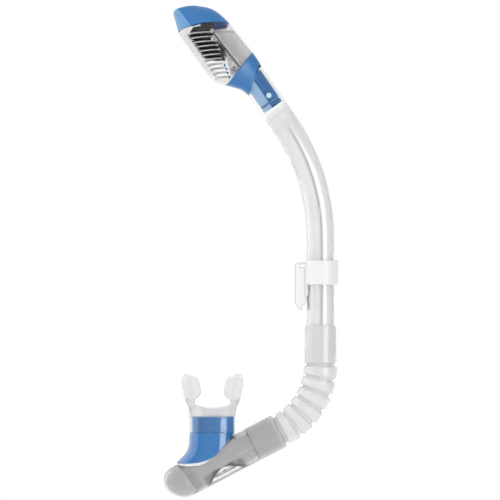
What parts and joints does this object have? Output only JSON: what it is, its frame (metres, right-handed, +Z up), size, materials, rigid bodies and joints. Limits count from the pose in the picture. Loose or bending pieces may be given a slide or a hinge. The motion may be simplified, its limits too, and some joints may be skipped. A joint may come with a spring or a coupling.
{
  "type": "snorkel",
  "caption": "Dry-top snorkel: bent clear barrel, float-valve head with louvres, strap keeper, ribbed flexible hose, lower chamber with purge valve and bite mouthpiece.",
  "frame": {"origin": "on the flat outer face of the keeper's back plate, in the middle of its width, where the mask strap lies", "axes": "+Z up along the straight part of the barrel, +X from the strap's face towards the barrel, Y across the snorkel, which is symmetrical about the XZ plane but for the keeper stop on its near side"},
  "size_m": [0.1611, 0.036, 0.4548],
  "materials": {
    "clear_plastic": "polished clear polycarbonate",
    "smoky_plastic": "polished smoky polycarbonate",
    "clear_silicone": "satin clear silicone rubber",
    "blue_plastic": "satin tinted plastic",
    "pale_blue_plastic": "gloss",
    "white_plastic": "satin",
    "black_plastic": "satin",
    "black_foam": "satin, closed-cell float",
    "black_rubber": "matt",
    "grey_rubber": "matt silicone",
    "hinge_steel": "stainless pin"
  },
  "bodies": {
    "keeper": {"keeper": "white_plastic"},
    "barrel": {"barrel": "clear_plastic", "head_collar": "blue_plastic", "spigot_seal": "grey_rubber", "head_shell": "clear_plastic", "head_cap": "blue_plastic", "air_duct": "clear_plastic", "valve_seat": "clear_plastic", "float_hinge_pin": "hinge_steel"},
    "float_lever": {"float": "black_foam", "float_arm": "black_plastic", "float_seal": "black_rubber"},
    "near_button": {"lock_button_near": "pale_blue_plastic"},
    "far_button": {"lock_button_far": "pale_blue_plastic"},
    "hose": {"flex_hose": "clear_silicone"},
    "chamber": {"chamber": "smoky_plastic", "chamber_end_cap": "smoky_plastic", "end_cap_seal": "grey_rubber", "mouthpiece_port": "blue_plastic", "port_gasket": "grey_rubber", "mouthpiece": "clear_silicone", "purge_frame": "smoky_plastic", "purge_cover": "smoky_plastic"},
    "purge_flap": {"purge_diaphragm": "clear_silicone"}
  },
  "joints": [
    {"name": "keeper_slide", "type": "slide", "parent": "keeper", "child": "barrel", "axis": [0, 0, 1], "range_m": [-0.018, 0.018]},
    {"name": "float_swing", "type": "hinge", "parent": "barrel", "child": "float_lever", "pos_m": [-0.0863, 0, 0.2298], "axis": [0, 1, 0], "range_deg": [0, 8]},
    {"name": "near_button_press", "type": "slide", "parent": "barrel", "child": "near_button", "axis": [-0.1854, 0.9744, -0.1274], "range_m": [0, 0.0016], "stiffness_N_per_m": 800},
    {"name": "far_button_press", "type": "slide", "parent": "barrel", "child": "far_button", "axis": [-0.1854, -0.9744, -0.1274], "range_m": [0, 0.0016], "stiffness_N_per_m": 800},
    {"name": "hose_swivel", "type": "hinge", "parent": "barrel", "child": "hose", "pos_m": [0.0138, 0, -0.06], "axis": [0, 0, 1], "range_deg": [-45, 45]},
    {"name": "hose_bend", "type": "hinge", "parent": "hose", "child": "chamber", "pos_m": [0.0039, 0, -0.1136], "axis": [0, 1, 0], "range_deg": [-30, 20], "stiffness_Nm_per_rad": 1.5, "deforming": ["flex_hose"]},
    {"name": "purge_flap_lift", "type": "slide", "parent": "chamber", "child": "purge_flap", "axis": [0.4617, 0, -0.887], "range_m": [0, 0.0015], "stiffness_N_per_m": 40}
  ]
}
